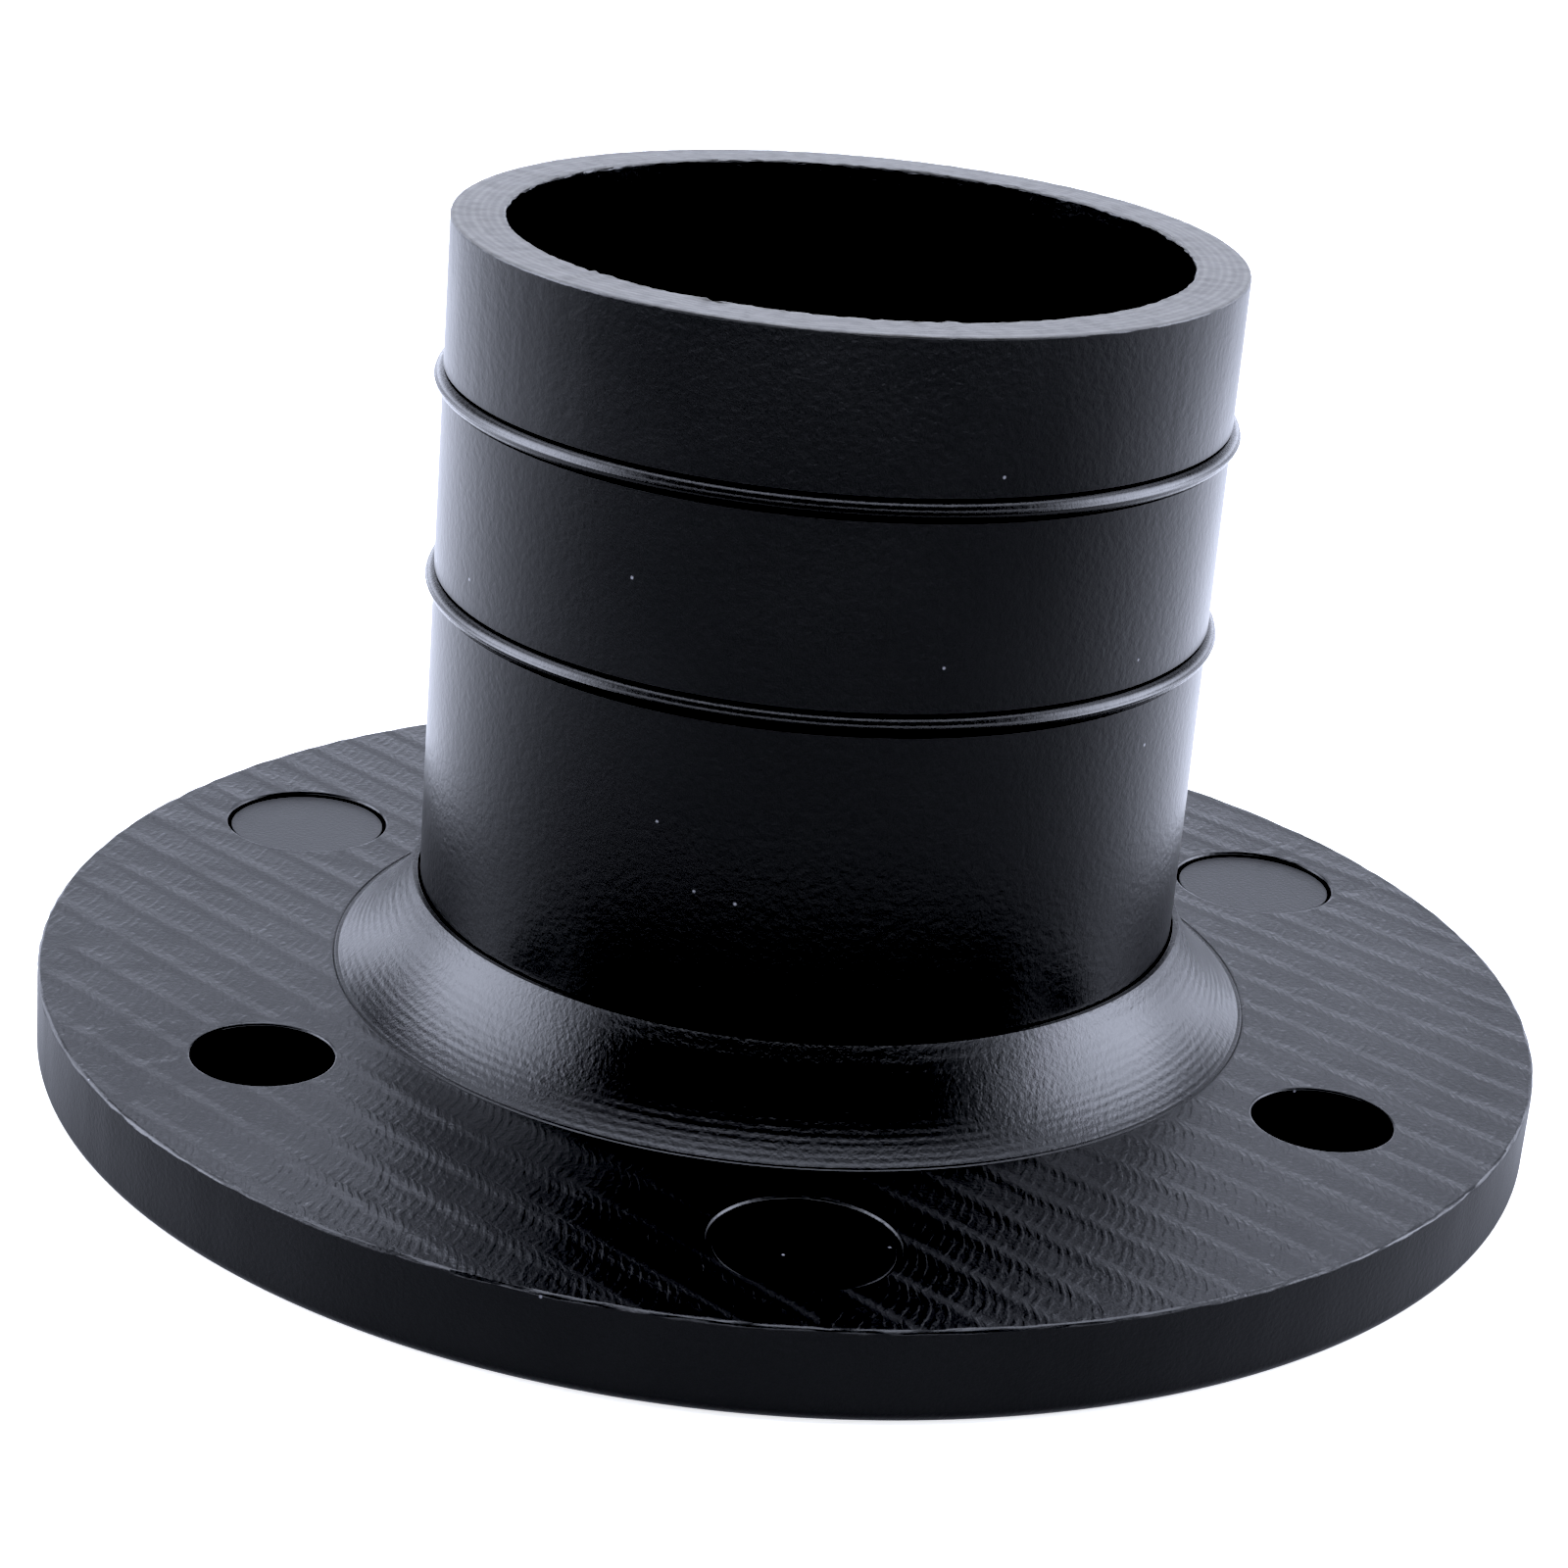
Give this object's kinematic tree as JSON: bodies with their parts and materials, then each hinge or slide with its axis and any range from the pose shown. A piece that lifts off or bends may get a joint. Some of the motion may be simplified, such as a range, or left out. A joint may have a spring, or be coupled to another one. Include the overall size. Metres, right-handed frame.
{
  "type": "toilet flange",
  "caption": "Toilet flange: a flat round plate with bolt holes and a flared collar that swivels on a plain tube with rubber sealing rings, which pushes into the drain pipe.",
  "frame": {"origin": "centre of the plate's underside, which is the face that the toilet stands on", "axes": "+Z along the tube towards its open end, which goes into the drain pipe; +Y towards the open bolt hole at the back"},
  "size_m": [0.1784, 0.1784, 0.1004],
  "materials": {
    "ring_plastic": "satin black with fine tool marks",
    "tube_plastic": "satin black, finely grained",
    "spring_steel": "plain",
    "seal_rubber": "matt black",
    "plug_plastic": "satin black"
  },
  "bodies": {
    "hub": {"spigot_tube": "tube_plastic", "retaining_ring": "spring_steel", "upper_o_ring": "seal_rubber", "lower_o_ring": "seal_rubber"},
    "swivel_ring": {"flange_ring": "ring_plastic", "front_hole_plug": "plug_plastic", "rear_left_hole_plug": "plug_plastic", "rear_right_hole_plug": "plug_plastic"}
  },
  "joints": [
    {"name": "ring_swivel", "type": "hinge", "parent": "hub", "child": "swivel_ring", "pos_m": [0, 0, 0], "axis": [0, 0, 1], "continuous": true}
  ]
}
